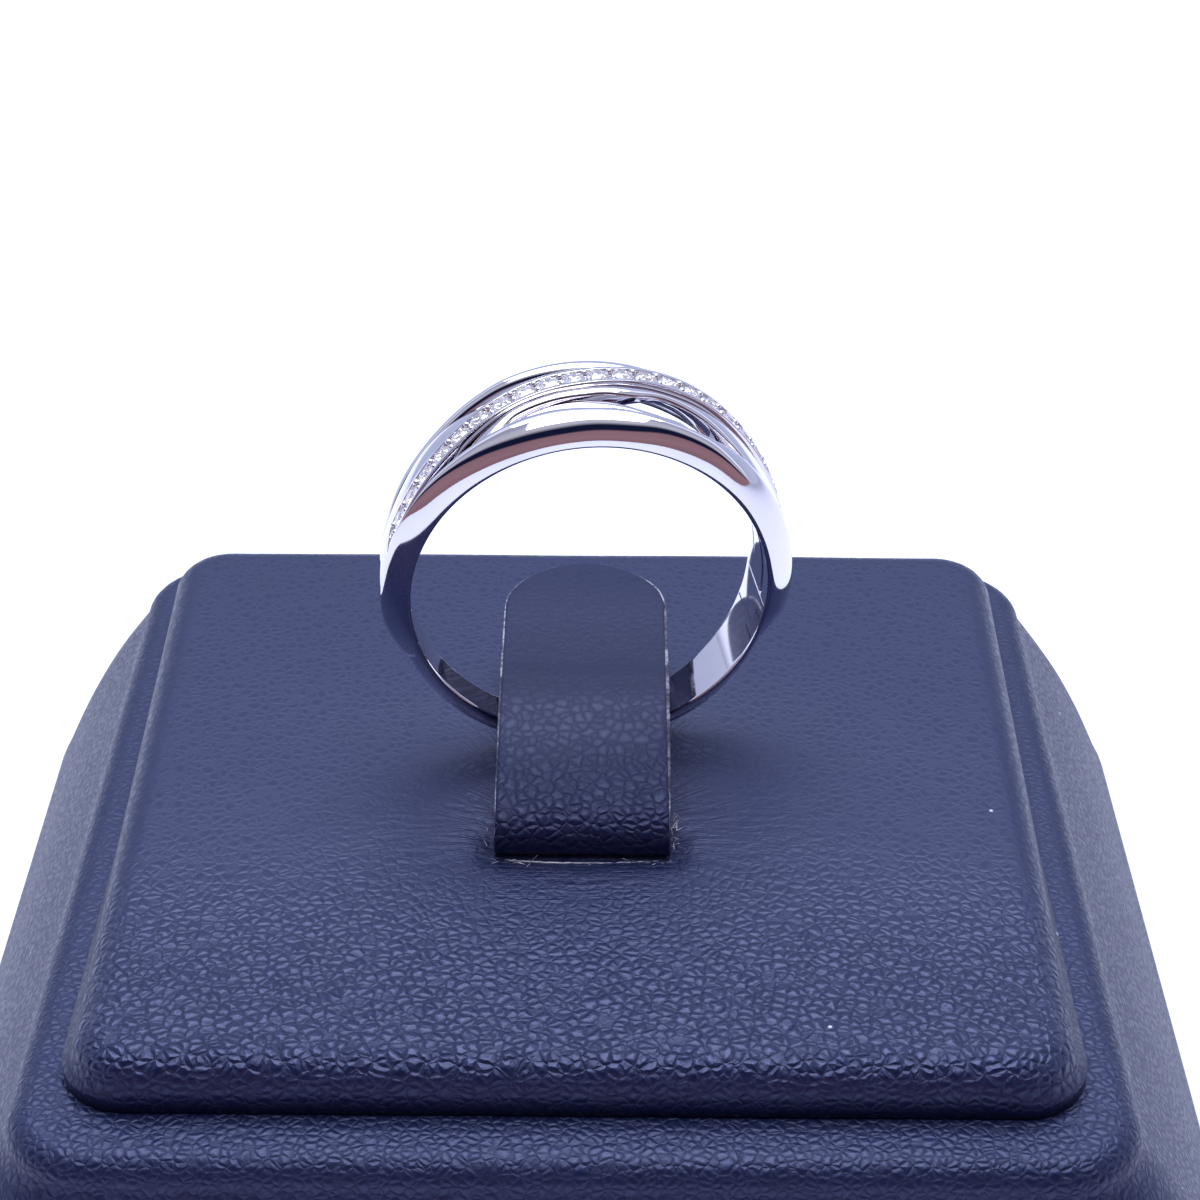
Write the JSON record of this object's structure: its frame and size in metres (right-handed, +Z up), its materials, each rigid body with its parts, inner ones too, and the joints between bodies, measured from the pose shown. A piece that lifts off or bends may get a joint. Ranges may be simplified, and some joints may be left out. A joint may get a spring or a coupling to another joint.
{
  "type": "crossover ring on display stand",
  "caption": "Polished ring whose plain strands cross under a diamond-set strand, held upright by the leather clip of a low cushioned display stand.",
  "frame": {"origin": "middle of the underside of the stand, on the table", "axes": "+Z up, -Y towards the viewer and the front of the clip, +X to the right"},
  "size_m": [0.0606, 0.061, 0.0338],
  "materials": {
    "leather": "pebbled, soft sheen",
    "clip_leather": "pebbled, soft sheen",
    "white_gold": "polished",
    "diamond": "clear, cut"
  },
  "bodies": {
    "root": {"stand_base": "leather", "stand_cushion": "leather", "clip": "clip_leather", "ring_band": "white_gold", "diamond_01": "diamond", "diamond_02": "diamond", "diamond_03": "diamond", "diamond_04": "diamond", "diamond_05": "diamond", "diamond_06": "diamond", "diamond_07": "diamond", "diamond_08": "diamond", "diamond_09": "diamond", "diamond_10": "diamond", "diamond_11": "diamond", "diamond_12": "diamond", "diamond_13": "diamond", "diamond_14": "diamond", "diamond_15": "diamond", "diamond_16": "diamond", "diamond_17": "diamond", "diamond_18": "diamond", "diamond_19": "diamond", "diamond_20": "diamond", "diamond_21": "diamond", "diamond_22": "diamond", "diamond_23": "diamond"}
  },
  "joints": []
}
